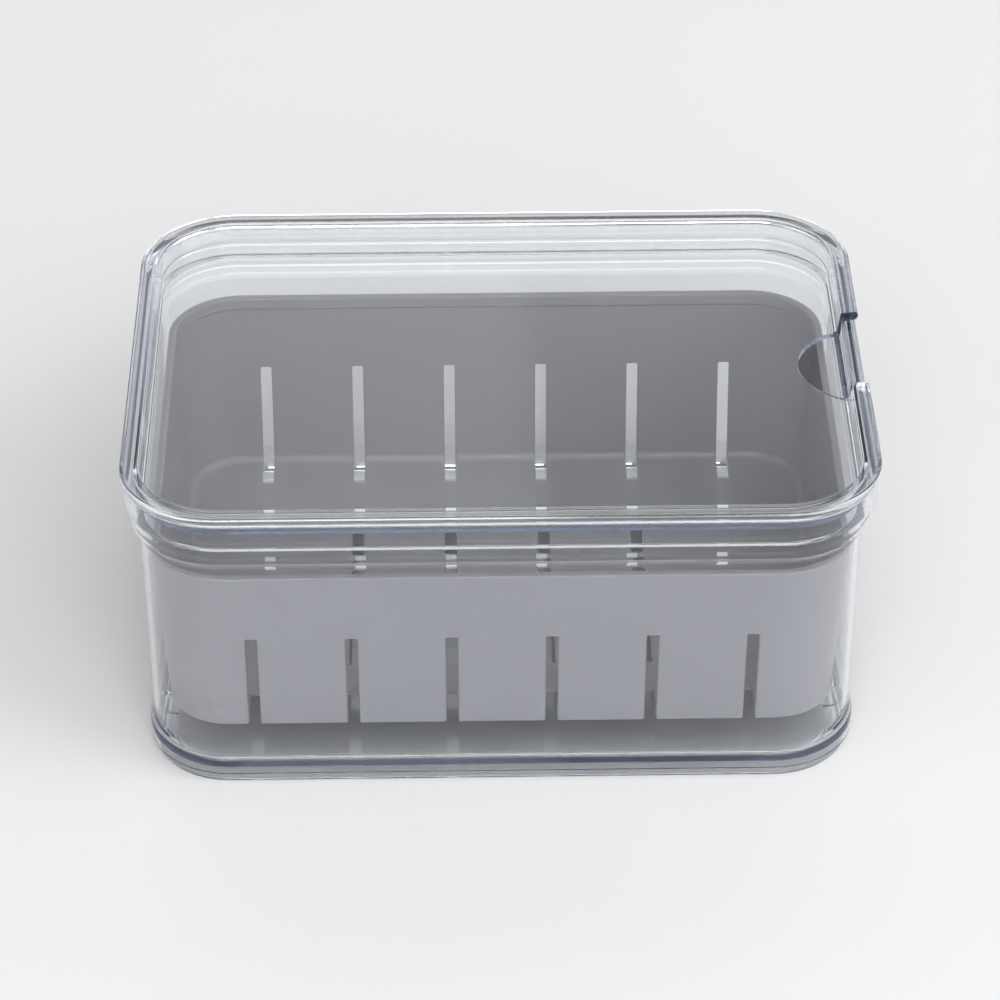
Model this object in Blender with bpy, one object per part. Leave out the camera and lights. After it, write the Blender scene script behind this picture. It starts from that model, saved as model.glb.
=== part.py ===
"""Clear lidded fridge bin with a lift-out drain basket.

Three moulded pieces, stacked one inside the other:
  storage_bin   clear tub with a flared rim, a raised floor and a stepped stacking foot
  drain_basket  grey colander that stands on four ribs inside the tub
  lid           clear cover whose recessed panel plugs into the tub's mouth

The origin is the centre of the underside. +X is the long side and points at the lid's
finger notch, +Y is the back and +Z is up. Sizes below are in millimetres.
"""
import math

import bmesh
import bpy

MM = 0.001

# Reference outline: the outer face of the tub's wall, as half sizes and corner radius.
WALL_HALF_X = 122.0
WALL_HALF_Y = 91.5
WALL_RADIUS = 28.5
CORNER_STEPS = 8
SHARP_ANGLE = 35

# Tub heights
STEP_Z = 4.3
FOOT_TOP_Z = 10.5
WALL_FOOT_Z = 16.0
FLOOR_UNDERSIDE_Z = 5.6
FLOOR_TOP_Z = 7.2
COVE_FOOT_Z = 89.5
COVE_MIDDLE_Z = 91.8
COVE_TOP_Z = 94.6
BEAD_BOTTOM_Z = 95.2
BEAD_TOP_Z = 96.6
SHOULDER_Z = 99.0
LEDGE_Z = 100.0
BAND_BOTTOM_Z = 102.9
RIM_TOP_Z = 111.5

# Tub section, as distances outwards from the reference outline
FOOT_INSIDE = -3.9
FOOT_OUTSIDE = -1.5
FOOT_SHOULDER = 0.4
WALL_INSIDE = -2.0
COVE_MIDDLE_OUTSIDE = 0.4
COVE_TOP_OUTSIDE = 1.9
BEAD_OUTSIDE = 2.8
SHOULDER_OUTSIDE = 3.6
FLANGE_OUTSIDE = 4.6
MOUTH = 1.1
WALL_DRAFT = 0.7
EDGE = 0.4
FLOOR_CURVE = 4.0

# Ribs that hold the basket off the floor, on the two short walls
RIB_TOP_Z = 15.7
RIB_INNER_X = 112.8
RIB_OUTER_X = 120.6
RIB_Y = 60.0
RIB_THICKNESS = 2.0
RIB_ROOT_Z = 6.4

# Lid
LID_TOP_Z = 115.3
LID_RING_UNDERSIDE_Z = 111.9
PANEL_TOP_Z = 107.9
PANEL_UNDERSIDE_Z = 106.0
LID_OUTSIDE = 5.5
LID_RING_INSIDE = -0.7
PLUG_TOP = 0.8
PLUG_BOTTOM = -0.5
PANEL_EDGE = -1.9
PANEL_INSET = 2.5
PANEL_CURVE = 0.7
RING_EDGE = 0.5
NOTCH_RADIUS = 22.65
NOTCH_Y = 3.0
NOTCH_STEPS = 40

# Basket
BASKET_BOTTOM_Z = 16.0
BASKET_FLOOR_Z = 17.9
BASKET_RIM_Z = 85.1
BASKET_RIM_HALF = (119.0, 87.9)
BASKET_BOTTOM_HALF = (115.8, 78.3)
BASKET_RIM_RADIUS = 26.0
BASKET_BOTTOM_RADIUS = 22.0
BASKET_WALL = 2.0
BASKET_RIM_WIDTH = 2.9
BASKET_RIM_EDGE = 0.7
BASKET_RIM_DEPTH = 4.0
BASKET_HEEL = 0.8
BASKET_FLOOR_CURVE = 3.0

# Drain slots
SLOT_COUNT = 6
SLOT_PITCH = 34.07
SLOT_WIDTH = 4.0
SLOT_TOP_Z = 56.6
SLOT_ON_FLOOR = 13.5
MIDDLE_SLOT_HALF_Y = 47.0
CUT_PAST = 12.0


def outline(half_x, half_y, radius, z):
    """Points of a rounded rectangle at height z, anticlockwise from above."""
    points = []
    for quarter, (side_x, side_y) in enumerate(((1, 1), (-1, 1), (-1, -1), (1, -1))):
        centre_x = side_x * (half_x - radius)
        centre_y = side_y * (half_y - radius)
        for step in range(CORNER_STEPS + 1):
            angle = math.radians(90 * (quarter + step / CORNER_STEPS))
            x = centre_x + radius * math.cos(angle)
            y = centre_y + radius * math.sin(angle)
            points.append((x * MM, y * MM, z * MM))
    return points


def wall_ring(outwards, z):
    """The reference outline moved outwards by a distance."""
    return outline(WALL_HALF_X + outwards, WALL_HALF_Y + outwards, WALL_RADIUS + outwards, z)


def basket_ring(inwards, z):
    """The basket's tapered outer outline at height z, moved inwards by a distance."""
    rise = (z - BASKET_BOTTOM_Z) / (BASKET_RIM_Z - BASKET_BOTTOM_Z)
    half_x = BASKET_BOTTOM_HALF[0] + rise * (BASKET_RIM_HALF[0] - BASKET_BOTTOM_HALF[0])
    half_y = BASKET_BOTTOM_HALF[1] + rise * (BASKET_RIM_HALF[1] - BASKET_BOTTOM_HALF[1])
    radius = BASKET_BOTTOM_RADIUS + rise * (BASKET_RIM_RADIUS - BASKET_BOTTOM_RADIUS)
    return outline(half_x - inwards, half_y - inwards, radius - inwards, z)


def new_object(name, mesh, material=None):
    obj = bpy.data.objects.new(name, mesh)
    bpy.context.scene.collection.objects.link(obj)
    if material:
        mesh.materials.append(material)
    return obj


def lofted(name, rings, material):
    """A closed solid skinned over rings that run from its underside round to its floor."""
    mesh = bpy.data.meshes.new(name)
    build = bmesh.new()
    loops = [[build.verts.new(point) for point in ring] for ring in rings]
    for lower, upper in zip(loops, loops[1:]):
        for here in range(len(lower)):
            after = (here + 1) % len(lower)
            build.faces.new((lower[here], lower[after], upper[after], upper[here]))
    build.faces.new(list(reversed(loops[0])))
    build.faces.new(loops[-1])
    build.to_mesh(mesh)
    build.free()
    mesh.shade_smooth()
    mesh.set_sharp_from_angle(angle=math.radians(SHARP_ANGLE))
    return new_object(name, mesh, material)


def boxes(name, extents):
    """One mesh of separate boxes, each given by its lowest and highest corner."""
    mesh = bpy.data.meshes.new(name)
    build = bmesh.new()
    for low, high in extents:
        size = [(b - a) * MM for a, b in zip(low, high)]
        middle = [(a + b) / 2 * MM for a, b in zip(low, high)]
        made = bmesh.ops.create_cube(build, size=1.0)
        bmesh.ops.scale(build, vec=size, verts=made["verts"])
        bmesh.ops.translate(build, vec=middle, verts=made["verts"])
    build.to_mesh(mesh)
    build.free()
    return new_object(name, mesh)


def boolean(target, helper, operation):
    """Joins or cuts target with a helper that stays out of the model."""
    helper.hide_render = True
    helper.display_type = "WIRE"
    modifier = target.modifiers.new(helper.name, "BOOLEAN")
    modifier.operation = operation
    modifier.object = helper


def plastic(name, color, roughness, alpha=1.0):
    material = bpy.data.materials.new(name)
    material.use_nodes = True
    shader = material.node_tree.nodes["Principled BSDF"]
    shader.inputs["Base Color"].default_value = (*color, 1.0)
    shader.inputs["Roughness"].default_value = roughness
    shader.inputs["Metallic"].default_value = 0.0
    shader.inputs["Alpha"].default_value = alpha
    return material


def make_bin(material):
    """Tub: stepped foot ring, raised floor, drafted wall and a rim that flares out in a cove."""
    section = [
        (FOOT_INSIDE - EDGE, FLOOR_UNDERSIDE_Z),
        (FOOT_INSIDE, EDGE),
        (FOOT_INSIDE + EDGE, 0.0),
        (FOOT_OUTSIDE - EDGE, 0.0),
        (FOOT_OUTSIDE, EDGE),
        (FOOT_OUTSIDE, STEP_Z),
        (FOOT_SHOULDER - EDGE, STEP_Z),
        (FOOT_SHOULDER, STEP_Z + EDGE),
        (FOOT_SHOULDER, FOOT_TOP_Z),
        (-WALL_DRAFT, WALL_FOOT_Z),
        (0.0, COVE_FOOT_Z),
        (COVE_MIDDLE_OUTSIDE, COVE_MIDDLE_Z),
        (COVE_TOP_OUTSIDE, COVE_TOP_Z),
        (BEAD_OUTSIDE, BEAD_BOTTOM_Z),
        (BEAD_OUTSIDE, BEAD_TOP_Z),
        (SHOULDER_OUTSIDE, SHOULDER_Z),
        (SHOULDER_OUTSIDE, BAND_BOTTOM_Z - EDGE),
        (FLANGE_OUTSIDE, BAND_BOTTOM_Z),
        (FLANGE_OUTSIDE, RIM_TOP_Z - EDGE),
        (FLANGE_OUTSIDE - EDGE, RIM_TOP_Z),
        (MOUTH + EDGE, RIM_TOP_Z),
        (MOUTH, RIM_TOP_Z - EDGE),
        (MOUTH, LEDGE_Z + EDGE),
        (MOUTH - EDGE, LEDGE_Z),
        (WALL_INSIDE + EDGE, LEDGE_Z),
        (WALL_INSIDE, LEDGE_Z - EDGE),
        (WALL_INSIDE - WALL_DRAFT, FLOOR_TOP_Z + FLOOR_CURVE),
        (WALL_INSIDE - WALL_DRAFT - FLOOR_CURVE / 4, FLOOR_TOP_Z + FLOOR_CURVE / 4),
        (WALL_INSIDE - WALL_DRAFT - FLOOR_CURVE, FLOOR_TOP_Z),
    ]
    tub = lofted("storage_bin", [wall_ring(*place) for place in section], material)
    ribs = []
    for side in (-1, 1):
        for end in (-1, 1):
            ends_x = sorted((side * RIB_INNER_X, side * RIB_OUTER_X))
            middle_y = end * RIB_Y
            low = (ends_x[0], middle_y - RIB_THICKNESS / 2, RIB_ROOT_Z)
            high = (ends_x[1], middle_y + RIB_THICKNESS / 2, RIB_TOP_Z)
            ribs.append((low, high))
    boolean(tub, boxes("rib_shapes", ribs), "UNION")
    return tub


def make_basket(material):
    """Basket: tapered walls, thickened rim and slots that run from the walls on to the floor."""
    section = [
        (BASKET_WALL, BASKET_BOTTOM_Z),
        (BASKET_HEEL, BASKET_BOTTOM_Z),
        (0.0, BASKET_BOTTOM_Z + BASKET_HEEL),
        (0.0, BASKET_RIM_Z - BASKET_RIM_EDGE),
        (BASKET_RIM_EDGE, BASKET_RIM_Z),
        (BASKET_RIM_WIDTH - BASKET_RIM_EDGE, BASKET_RIM_Z),
        (BASKET_RIM_WIDTH, BASKET_RIM_Z - BASKET_RIM_EDGE),
        (BASKET_RIM_WIDTH, BASKET_RIM_Z - BASKET_RIM_DEPTH),
        (BASKET_WALL, BASKET_RIM_Z - BASKET_RIM_DEPTH - (BASKET_RIM_WIDTH - BASKET_WALL)),
        (BASKET_WALL, BASKET_FLOOR_Z + BASKET_FLOOR_CURVE),
        (BASKET_WALL + BASKET_FLOOR_CURVE / 4, BASKET_FLOOR_Z + BASKET_FLOOR_CURVE / 4),
        (BASKET_WALL + BASKET_FLOOR_CURVE, BASKET_FLOOR_Z),
    ]
    basket = lofted("drain_basket", [basket_ring(*place) for place in section], material)
    floor_end_y = BASKET_BOTTOM_HALF[1] - BASKET_WALL - SLOT_ON_FLOOR
    past_wall_y = BASKET_RIM_HALF[1] + CUT_PAST
    below_z = BASKET_BOTTOM_Z - CUT_PAST
    cuts = []
    for index in range(SLOT_COUNT):
        middle_x = (index - (SLOT_COUNT - 1) / 2) * SLOT_PITCH
        left = middle_x - SLOT_WIDTH / 2
        right = middle_x + SLOT_WIDTH / 2
        cuts.append(((left, floor_end_y, below_z), (right, past_wall_y, SLOT_TOP_Z)))
        cuts.append(((left, -past_wall_y, below_z), (right, -floor_end_y, SLOT_TOP_Z)))
        if 0 < index < SLOT_COUNT - 1:
            low = (left, -MIDDLE_SLOT_HALF_Y, below_z)
            high = (right, MIDDLE_SLOT_HALF_Y, BASKET_FLOOR_Z + CUT_PAST)
            cuts.append((low, high))
    boolean(basket, boxes("slot_shapes", cuts), "DIFFERENCE")
    return basket


def make_lid(material):
    """Lid: flat raised ring, plug wall, recessed panel and a round finger notch at +X."""
    section = [
        (PLUG_BOTTOM - PANEL_INSET, PANEL_UNDERSIDE_Z),
        (PLUG_BOTTOM - EDGE, PANEL_UNDERSIDE_Z),
        (PLUG_BOTTOM, PANEL_UNDERSIDE_Z + EDGE),
        (PLUG_TOP, LID_RING_UNDERSIDE_Z),
        (LID_OUTSIDE - EDGE, LID_RING_UNDERSIDE_Z),
        (LID_OUTSIDE, LID_RING_UNDERSIDE_Z + EDGE),
        (LID_OUTSIDE, LID_TOP_Z - RING_EDGE),
        (LID_OUTSIDE - RING_EDGE, LID_TOP_Z),
        (LID_RING_INSIDE + RING_EDGE, LID_TOP_Z),
        (LID_RING_INSIDE, LID_TOP_Z - RING_EDGE),
        (PANEL_EDGE, PANEL_TOP_Z + PANEL_CURVE),
        (PANEL_EDGE - PANEL_CURVE, PANEL_TOP_Z),
    ]
    lid = lofted("lid", [wall_ring(*place) for place in section], material)
    mesh = bpy.data.meshes.new("notch_shape")
    build = bmesh.new()
    bmesh.ops.create_cone(
        build,
        cap_ends=True,
        segments=NOTCH_STEPS,
        radius1=NOTCH_RADIUS * MM,
        radius2=NOTCH_RADIUS * MM,
        depth=4 * CUT_PAST * MM,
    )
    notch_x = (WALL_HALF_X + LID_OUTSIDE) * MM
    bmesh.ops.translate(build, vec=(notch_x, NOTCH_Y * MM, LID_TOP_Z * MM), verts=build.verts)
    build.to_mesh(mesh)
    build.free()
    boolean(lid, new_object("notch_shape", mesh), "DIFFERENCE")
    return lid


def main():
    for obj in list(bpy.data.objects):
        bpy.data.objects.remove(obj)
    clear = plastic("clear_plastic", (0.86, 0.90, 0.93), 0.05, alpha=0.35)
    grey = plastic("grey_plastic", (0.29, 0.31, 0.33), 0.35)
    root = bpy.data.objects.new("fridge_bin", None)
    bpy.context.scene.collection.objects.link(root)
    make_bin(clear).parent = root
    make_basket(grey).parent = root
    make_lid(clear).parent = root


main()
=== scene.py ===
"""Looks for the clear fridge bin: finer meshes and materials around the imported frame.

The three moulded pieces are skinned over rounded sections, with the fillets, ribs, slots and
finger notch that the plain solids only block out. Section sizes are in millimetres; the
outlines that they are measured from come from the frame.
"""
import math

import bmesh
import bpy
from mathutils import Matrix, Vector


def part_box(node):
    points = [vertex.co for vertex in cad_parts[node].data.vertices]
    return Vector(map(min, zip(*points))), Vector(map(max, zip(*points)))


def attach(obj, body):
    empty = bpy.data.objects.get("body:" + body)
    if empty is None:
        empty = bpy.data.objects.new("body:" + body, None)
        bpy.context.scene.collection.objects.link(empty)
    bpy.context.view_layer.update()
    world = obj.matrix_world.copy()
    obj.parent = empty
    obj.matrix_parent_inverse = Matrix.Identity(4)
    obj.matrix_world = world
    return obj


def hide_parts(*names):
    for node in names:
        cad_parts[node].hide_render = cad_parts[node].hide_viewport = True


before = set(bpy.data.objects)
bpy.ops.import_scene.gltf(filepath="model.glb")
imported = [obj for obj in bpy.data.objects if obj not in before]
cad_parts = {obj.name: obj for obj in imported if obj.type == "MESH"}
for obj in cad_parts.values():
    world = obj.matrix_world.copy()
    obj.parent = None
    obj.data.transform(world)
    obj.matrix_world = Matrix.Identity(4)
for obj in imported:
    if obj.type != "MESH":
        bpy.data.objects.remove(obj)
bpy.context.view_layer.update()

MM = 0.001
CORNER_STEPS = 28
FILLET_STEPS = 5
SHARP_ANGLE = 32
NORMAL_WEIGHT = 100

# Outlines: distances from the frame's boxes to the reference outlines, and corner radii
FLANGE_OUTSIDE = 4.6
WALL_RADIUS = 28.5
BASKET_RIM_RADIUS = 26.0
BASKET_BOTTOM_RADIUS = 22.0
BASKET_BOTTOM_INSET = (3.2, 9.6)

# Tub section: distance outwards from its wall, height, fillet radius
TUB_SECTION = [
    (-6.3, 5.6, 0.0),
    (-4.3, 5.6, 0.5),
    (-3.9, 0.0, 0.4),
    (-1.5, 0.0, 0.4),
    (-1.5, 4.3, 0.25),
    (0.4, 4.3, 0.4),
    (0.4, 10.5, 1.5),
    (-0.7, 16.0, 4.0),
    (0.0, 91.6, 7.0),
    (1.9, 94.6, 0.15),
    (2.8, 95.2, 0.6),
    (2.8, 96.6, 0.3),
    (3.5, 99.0, 3.0),
    (3.6, 102.3, 0.3),
    (4.6, 102.9, 0.8),
    (4.6, 111.5, 0.5),
    (1.1, 111.5, 0.4),
    (1.1, 100.0, 0.3),
    (-2.0, 100.0, 0.4),
    (-2.7, 7.2, 4.0),
    (-8.7, 7.2, 0.0),
]
RIB_X = (112.8, 120.6)
RIB_Y = 60.0
RIB_THICKNESS = 2.0
RIB_Z = (6.4, 15.7)

# Lid section, measured as the tub's
LID_SECTION = [
    (-3.0, 106.0, 0.0),
    (-0.5, 106.0, 0.4),
    (0.8, 111.9, 0.3),
    (5.5, 111.9, 2.0),
    (5.5, 115.3, 1.2),
    (-0.7, 115.3, 0.5),
    (-1.9, 107.9, 0.8),
    (-4.9, 107.9, 0.0),
]
NOTCH_RADIUS = 22.65
NOTCH_Y = 3.0
NOTCH_STEPS = 160

# Basket section: distance inwards from its tapered wall, height, fillet radius
BASKET_SECTION = [
    (4.0, 16.0, 0.0),
    (0.0, 16.0, 0.8),
    (0.0, 85.1, 0.8),
    (2.9, 85.1, 0.8),
    (2.9, 81.0, 0.3),
    (2.0, 80.1, 0.3),
    (2.0, 17.9, 3.0),
    (8.0, 17.9, 0.0),
]
SLOT_COUNT = 6
SLOT_PITCH = 34.07
SLOT_WIDTH = 4.0
SLOT_TOP_Z = 56.6
SLOT_ON_FLOOR = 13.5
SLOT_EDGE = 0.7
MIDDLE_SLOT_HALF_Y = 47.0
CUT_PAST = 12.0
BASKET_WALL = 2.0
SLOT_EDGE_STEPS = 3
SLOT_EDGE_ANGLE = 50

# Clear plastic: surface tint, the tint that it absorbs towards per metre, and mould waviness
CLEAR_TINT = (0.965, 0.975, 0.985, 1.0)
CLEAR_IOR = 1.52
CLEAR_DEPTH_TINT = (0.14, 0.22, 0.40, 1.0)
CLEAR_DENSITY = 14.0
WAVE_SCALE = 28.0
WAVE_STRENGTH = 0.015
WAVE_DEPTH = 0.0006

# Grey plastic: two close greys, satin roughness and moulded grain
GREY_A = (0.357, 0.355, 0.383, 1.0)
GREY_B = (0.363, 0.361, 0.389, 1.0)
GREY_PATCH_SCALE = 22.0
SATIN_SCALE = 400.0
SATIN_ROUGHNESS = (0.28, 0.295)
GRAIN_SCALE = 700.0
GRAIN_STRENGTH = 0.008
GRAIN_DEPTH = 0.0001
NOISE_RANGE = (0.3, 0.7)

# Table
TABLE_COLOUR = (0.80, 0.80, 0.805, 1.0)
TABLE_ROUGHNESS = 0.6
TABLE_SPECULAR = 0.2
TABLE_HALF_SIZE = 6.0

# World light along one axis of its direction: start, end, brightness before and after
LOW_LIGHT = (0.35, 0.75, 1.25, 0.12)
FRONT_LIGHT = (-0.60, 0.20, 1.90, 1.00)
BACK_LIGHT = (0.30, 0.70, 0.0, 0.95)
BACK_LIGHT_LEFT = (0.012, 0.042, 1.0, 0.12)
BACK_LIGHT_RIGHT = (0.055, 0.110, 0.0, 0.55)
SIDE_LIGHT = (-0.9, 0.9, 0.90, 1.15)

# Softboxes: place and size in metres, power in watts
KEY_RIGHT = ((2.1, -0.9, 1.7), (2.0, 2.0), 29.0)
FILL_FRONT = ((0.1, -2.5, 2.5), (2.2, 1.5), 49.0)
SOFTBOX_AIM = (0, 0, 0.05)

# Camera
CAMERA_AZIMUTH = -0.795
CAMERA_ELEVATION = 35.248
CAMERA_ROLL = -0.174
CAMERA_DISTANCE = 1.41803
CAMERA_LENS = 143.24
CAMERA_TARGET_Z = 0.0513
CAMERA_SHIFT = (0.0017, 0.0061)
CAMERA_SENSOR = 36.0
CAMERA_CLIP_START = 0.05

# Bounces: light is guided a long way inside the clear plates before it leaves their edges
GUIDED_BOUNCES = 90
DIFFUSE_BOUNCES = 6
TRANSPARENT_BOUNCES = 12
INDIRECT_CLAMP = 6.0


def outline(half_x, half_y, radius, z):
    """Points of a rounded rectangle at height z, anticlockwise from above."""
    points = []
    for quarter, (side_x, side_y) in enumerate(((1, 1), (-1, 1), (-1, -1), (1, -1))):
        centre_x = side_x * (half_x - radius)
        centre_y = side_y * (half_y - radius)
        for step in range(CORNER_STEPS + 1):
            angle = math.radians(90 * (quarter + step / CORNER_STEPS))
            x = centre_x + radius * math.cos(angle)
            y = centre_y + radius * math.sin(angle)
            points.append(Vector((x, y, z)) * MM)
    return points


def rounded(section):
    """The section's points, with an arc of its radius in place of each corner that has one."""
    points = []
    for index, (across, z, radius) in enumerate(section):
        here = Vector((across, z))
        if not radius:
            points.append(here)
            continue
        back = (Vector(section[index - 1][:2]) - here).normalized()
        ahead = (Vector(section[index + 1][:2]) - here).normalized()
        half = back.angle(ahead) / 2
        reach = radius / math.tan(half)
        centre = here + (back + ahead).normalized() * (radius / math.sin(half))
        start = here + back * reach - centre
        end = here + ahead * reach - centre
        turn = start.angle_signed(end)
        for step in range(FILLET_STEPS + 1):
            spin = Matrix.Rotation(-turn * step / FILLET_STEPS, 2)
            points.append(centre + spin @ start)
    return points


def new_object(name, mesh):
    obj = bpy.data.objects.new(name, mesh)
    bpy.context.scene.collection.objects.link(obj)
    return obj


def lofted(name, rings):
    """A closed solid skinned over rings that run from its underside round to its floor."""
    mesh = bpy.data.meshes.new(name)
    build = bmesh.new()
    loops = [[build.verts.new(point) for point in ring] for ring in rings]
    for lower, upper in zip(loops, loops[1:]):
        for here in range(len(lower)):
            after = (here + 1) % len(lower)
            build.faces.new((lower[here], lower[after], upper[after], upper[here]))
    build.faces.new(list(reversed(loops[0])))
    build.faces.new(loops[-1])
    build.to_mesh(mesh)
    build.free()
    return new_object(name, mesh)


def boxes(name, extents):
    """One mesh of separate boxes, each given by its lowest and highest corner."""
    mesh = bpy.data.meshes.new(name)
    build = bmesh.new()
    for low, high in extents:
        size = [(b - a) * MM for a, b in zip(low, high)]
        middle = [(a + b) / 2 * MM for a, b in zip(low, high)]
        made = bmesh.ops.create_cube(build, size=1.0)
        bmesh.ops.scale(build, vec=size, verts=made["verts"])
        bmesh.ops.translate(build, vec=middle, verts=made["verts"])
    build.to_mesh(mesh)
    build.free()
    return new_object(name, mesh)


def boolean(target, helper, operation):
    """Joins or cuts target with a helper, and removes the helper."""
    modifier = target.modifiers.new(helper.name, "BOOLEAN")
    modifier.operation = operation
    modifier.object = helper
    apply_modifiers(target)
    bpy.data.objects.remove(helper)


def apply_modifiers(obj):
    graph = bpy.context.evaluated_depsgraph_get()
    mesh = bpy.data.meshes.new_from_object(obj.evaluated_get(graph))
    obj.modifiers.clear()
    obj.data = mesh


def finish_surface(obj, material):
    """Smooth shading that keeps flat faces flat and real edges sharp."""
    obj.data.shade_smooth()
    obj.data.set_sharp_from_angle(angle=math.radians(SHARP_ANGLE))
    obj.data.materials.clear()
    obj.data.materials.append(material)
    weighted = obj.modifiers.new("weighted_normals", "WEIGHTED_NORMAL")
    weighted.keep_sharp = True
    weighted.weight = NORMAL_WEIGHT


def wall_ring(outwards, z):
    """The outer face of the tub's wall moved outwards by a distance."""
    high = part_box("storage_bin")[1]
    half_x = high.x / MM - FLANGE_OUTSIDE + outwards
    half_y = high.y / MM - FLANGE_OUTSIDE + outwards
    return outline(half_x, half_y, WALL_RADIUS + outwards, z)


def basket_ring(inwards, z):
    """The basket's tapered outer outline at height z, moved inwards by a distance."""
    low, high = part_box("drain_basket")
    rise = (z * MM - low.z) / (high.z - low.z)
    half_x = high.x / MM - (1 - rise) * BASKET_BOTTOM_INSET[0]
    half_y = high.y / MM - (1 - rise) * BASKET_BOTTOM_INSET[1]
    radius = BASKET_BOTTOM_RADIUS + rise * (BASKET_RIM_RADIUS - BASKET_BOTTOM_RADIUS)
    return outline(half_x - inwards, half_y - inwards, radius - inwards, z)


def make_tub(material):
    tub = lofted("tub_shell", [wall_ring(*place) for place in rounded(TUB_SECTION)])
    ribs = []
    for side in (-1, 1):
        for end in (-1, 1):
            ends_x = sorted(side * x for x in RIB_X)
            low = (ends_x[0], end * RIB_Y - RIB_THICKNESS / 2, RIB_Z[0])
            high = (ends_x[1], end * RIB_Y + RIB_THICKNESS / 2, RIB_Z[1])
            ribs.append((low, high))
    boolean(tub, boxes("ribs", ribs), "UNION")
    finish_surface(tub, material)
    return tub


def make_lid(material):
    lid = lofted("lid_shell", [wall_ring(*place) for place in rounded(LID_SECTION)])
    mesh = bpy.data.meshes.new("notch")
    build = bmesh.new()
    bmesh.ops.create_cone(
        build,
        cap_ends=True,
        segments=NOTCH_STEPS,
        radius1=NOTCH_RADIUS * MM,
        radius2=NOTCH_RADIUS * MM,
        depth=4 * CUT_PAST * MM,
    )
    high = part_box("lid")[1]
    bmesh.ops.translate(build, vec=(high.x, NOTCH_Y * MM, high.z), verts=build.verts)
    build.to_mesh(mesh)
    build.free()
    boolean(lid, new_object("notch", mesh), "DIFFERENCE")
    finish_surface(lid, material)
    return lid


def make_basket(material):
    basket = lofted("basket_shell", [basket_ring(*place) for place in rounded(BASKET_SECTION)])
    low, high = (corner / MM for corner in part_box("drain_basket"))
    floor_end_y = high.y - BASKET_BOTTOM_INSET[1] - BASKET_WALL - SLOT_ON_FLOOR
    past_wall_y = high.y + CUT_PAST
    below_z = low.z - CUT_PAST
    cuts = []
    for index in range(SLOT_COUNT):
        middle_x = (index - (SLOT_COUNT - 1) / 2) * SLOT_PITCH
        left = middle_x - SLOT_WIDTH / 2
        right = middle_x + SLOT_WIDTH / 2
        cuts.append(((left, floor_end_y, below_z), (right, past_wall_y, SLOT_TOP_Z)))
        cuts.append(((left, -past_wall_y, below_z), (right, -floor_end_y, SLOT_TOP_Z)))
        if 0 < index < SLOT_COUNT - 1:
            start = (left, -MIDDLE_SLOT_HALF_Y, below_z)
            cuts.append((start, (right, MIDDLE_SLOT_HALF_Y, low.z + CUT_PAST)))
    boolean(basket, boxes("slots", cuts), "DIFFERENCE")
    bevel = basket.modifiers.new("slot_edges", "BEVEL")
    bevel.width = SLOT_EDGE * MM
    bevel.segments = SLOT_EDGE_STEPS
    bevel.limit_method = "ANGLE"
    bevel.angle_limit = math.radians(SLOT_EDGE_ANGLE)
    apply_modifiers(basket)
    finish_surface(basket, material)
    return basket


def shader_of(name):
    material = bpy.data.materials.new(name)
    material.use_nodes = True
    return material, material.node_tree, material.node_tree.nodes["Principled BSDF"]


def noise(tree, scale, detail):
    """Noise texture in the object's own coordinates, in metres."""
    place = tree.nodes.new("ShaderNodeTexCoord")
    texture = tree.nodes.new("ShaderNodeTexNoise")
    texture.inputs["Scale"].default_value = scale
    texture.inputs["Detail"].default_value = detail
    tree.links.new(place.outputs["Object"], texture.inputs["Vector"])
    return texture.outputs["Fac"]


def ramp(tree, value, low, high):
    """Maps the middle of a noise's range onto low to high."""
    node = tree.nodes.new("ShaderNodeMapRange")
    node.inputs["From Min"].default_value = NOISE_RANGE[0]
    node.inputs["From Max"].default_value = NOISE_RANGE[1]
    node.inputs["To Min"].default_value = low
    node.inputs["To Max"].default_value = high
    tree.links.new(value, node.inputs["Value"])
    return node.outputs["Result"]


def bump(tree, shader, height, strength, distance):
    node = tree.nodes.new("ShaderNodeBump")
    node.inputs["Strength"].default_value = strength
    node.inputs["Distance"].default_value = distance
    tree.links.new(height, node.inputs["Height"])
    tree.links.new(node.outputs["Normal"], shader.inputs["Normal"])


def clear_plastic():
    """Polished clear plastic: faint cool tint that deepens along an edge, slight mould waviness."""
    material, tree, shader = shader_of("clear_plastic")
    shader.inputs["Base Color"].default_value = CLEAR_TINT
    shader.inputs["Transmission Weight"].default_value = 1.0
    shader.inputs["IOR"].default_value = CLEAR_IOR
    shader.inputs["Roughness"].default_value = 0.0
    absorb = tree.nodes.new("ShaderNodeVolumeAbsorption")
    absorb.inputs["Color"].default_value = CLEAR_DEPTH_TINT
    absorb.inputs["Density"].default_value = CLEAR_DENSITY
    output = tree.nodes["Material Output"]
    tree.links.new(absorb.outputs["Volume"], output.inputs["Volume"])
    bump(tree, shader, noise(tree, WAVE_SCALE, 1.0), WAVE_STRENGTH, WAVE_DEPTH)
    return material


def grey_plastic():
    """Satin grey plastic with a fine moulded grain."""
    material, tree, shader = shader_of("grey_plastic")
    colour = tree.nodes.new("ShaderNodeMix")
    colour.data_type = "RGBA"
    colour.inputs["A"].default_value = GREY_A
    colour.inputs["B"].default_value = GREY_B
    tree.links.new(noise(tree, GREY_PATCH_SCALE, 3.0), colour.inputs["Factor"])
    tree.links.new(colour.outputs["Result"], shader.inputs["Base Color"])
    satin = ramp(tree, noise(tree, SATIN_SCALE, 2.0), *SATIN_ROUGHNESS)
    tree.links.new(satin, shader.inputs["Roughness"])
    bump(tree, shader, noise(tree, GRAIN_SCALE, 2.0), GRAIN_STRENGTH, GRAIN_DEPTH)
    return material


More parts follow.
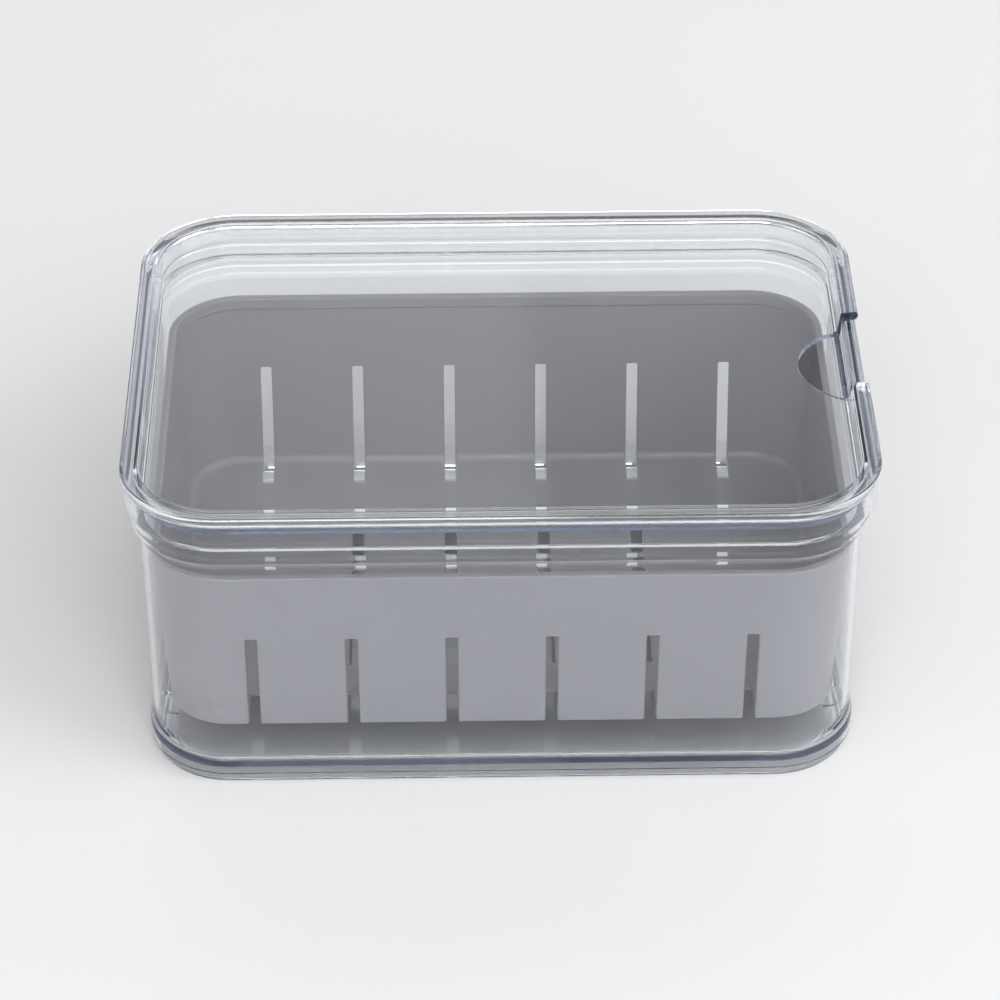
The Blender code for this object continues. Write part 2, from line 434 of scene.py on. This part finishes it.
def table_white():
    """Plain matt white."""
    material, tree, shader = shader_of("table_white")
    shader.inputs["Base Color"].default_value = TABLE_COLOUR
    shader.inputs["Roughness"].default_value = TABLE_ROUGHNESS
    shader.inputs["Specular IOR Level"].default_value = TABLE_SPECULAR
    return material


def make_stage():
    mesh = bpy.data.meshes.new("table")
    build = bmesh.new()
    bmesh.ops.create_grid(build, x_segments=1, y_segments=1, size=TABLE_HALF_SIZE)
    build.to_mesh(mesh)
    build.free()
    mesh.materials.append(table_white())
    new_object("table", mesh)


def softbox(name, place, size, power):
    """A rectangular area light at place that faces the object."""
    lamp = bpy.data.lights.new(name, "AREA")
    lamp.shape = "RECTANGLE"
    lamp.size = size[0]
    lamp.size_y = size[1]
    lamp.energy = power
    obj = bpy.data.objects.new(name, lamp)
    bpy.context.scene.collection.objects.link(obj)
    obj.location = place
    facing = Vector(SOFTBOX_AIM) - Vector(place)
    obj.rotation_euler = facing.to_track_quat("-Z", "Y").to_euler()


def combined(tree, operation, first, second):
    """One brightness from two."""
    node = tree.nodes.new("ShaderNodeMath")
    node.operation = operation
    tree.links.new(first, node.inputs[0])
    tree.links.new(second, node.inputs[1])
    return node.outputs[0]


def lobe(tree, value, start, end, before, after):
    """A smooth change from one brightness to another as value goes from start to end."""
    node = tree.nodes.new("ShaderNodeMapRange")
    node.interpolation_type = "SMOOTHSTEP"
    node.inputs["From Min"].default_value = start
    node.inputs["From Max"].default_value = end
    node.inputs["To Min"].default_value = before
    node.inputs["To Max"].default_value = after
    tree.links.new(value, node.inputs["Value"])
    return node.outputs["Result"]


def make_lights():
    """Pale studio: a low wrap of light, stronger in front, a panel behind and two softboxes."""
    world = bpy.data.worlds.new("studio")
    bpy.context.scene.world = world
    world.use_nodes = True
    tree = world.node_tree
    background = tree.nodes["Background"]
    place = tree.nodes.new("ShaderNodeTexCoord")
    direction = tree.nodes.new("ShaderNodeSeparateXYZ")
    tree.links.new(place.outputs["Generated"], direction.inputs["Vector"])
    x, y, z = (direction.outputs[axis] for axis in "XYZ")
    wrap = combined(tree, "MULTIPLY", lobe(tree, z, *LOW_LIGHT), lobe(tree, y, *FRONT_LIGHT))
    across = combined(
        tree,
        "ADD",
        lobe(tree, x, *BACK_LIGHT_LEFT),
        lobe(tree, x, *BACK_LIGHT_RIGHT),
    )
    back = combined(tree, "MULTIPLY", lobe(tree, y, *BACK_LIGHT), across)
    level = combined(tree, "MAXIMUM", wrap, back)
    level = combined(tree, "MULTIPLY", level, lobe(tree, x, *SIDE_LIGHT))
    tree.links.new(level, background.inputs["Color"])
    softbox("key_right", *KEY_RIGHT)
    softbox("fill_front", *FILL_FRONT)


def make_camera():
    azimuth = math.radians(CAMERA_AZIMUTH)
    elevation = math.radians(CAMERA_ELEVATION)
    forward = Vector((
        -math.sin(azimuth) * math.cos(elevation),
        math.cos(azimuth) * math.cos(elevation),
        -math.sin(elevation),
    ))
    right = Vector((math.cos(azimuth), math.sin(azimuth), 0.0))
    up = right.cross(forward)
    camera = bpy.data.objects.new("camera", bpy.data.cameras.new("camera"))
    bpy.context.scene.collection.objects.link(camera)
    turn = Matrix((right, up, -forward)).transposed().to_4x4()
    place = Vector((0, 0, CAMERA_TARGET_Z)) - forward * CAMERA_DISTANCE
    roll = Matrix.Rotation(math.radians(CAMERA_ROLL), 4, "Z")
    camera.matrix_world = Matrix.Translation(place) @ turn @ roll
    camera.data.lens = CAMERA_LENS
    camera.data.sensor_width = CAMERA_SENSOR
    camera.data.shift_x, camera.data.shift_y = CAMERA_SHIFT
    camera.data.clip_start = CAMERA_CLIP_START
    bpy.context.scene.camera = camera


def set_rendering():
    scene = bpy.context.scene
    scene.view_settings.view_transform = "Standard"
    scene.cycles.max_bounces = GUIDED_BOUNCES
    scene.cycles.transmission_bounces = GUIDED_BOUNCES
    scene.cycles.glossy_bounces = GUIDED_BOUNCES
    scene.cycles.diffuse_bounces = DIFFUSE_BOUNCES
    scene.cycles.transparent_max_bounces = TRANSPARENT_BOUNCES
    scene.cycles.use_denoising = True
    scene.cycles.sample_clamp_indirect = INDIRECT_CLAMP


def main():
    clear = clear_plastic()
    pieces = (
        (make_tub(clear), "storage_bin", "bin", "clear_plastic"),
        (make_basket(grey_plastic()), "drain_basket", "basket", "grey_plastic"),
        (make_lid(clear), "lid", "lid", "clear_plastic"),
    )
    for piece, node, body, slot in pieces:
        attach(piece, body)
        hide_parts(node)
    make_stage()
    make_lights()
    make_camera()
    set_rendering()


main()
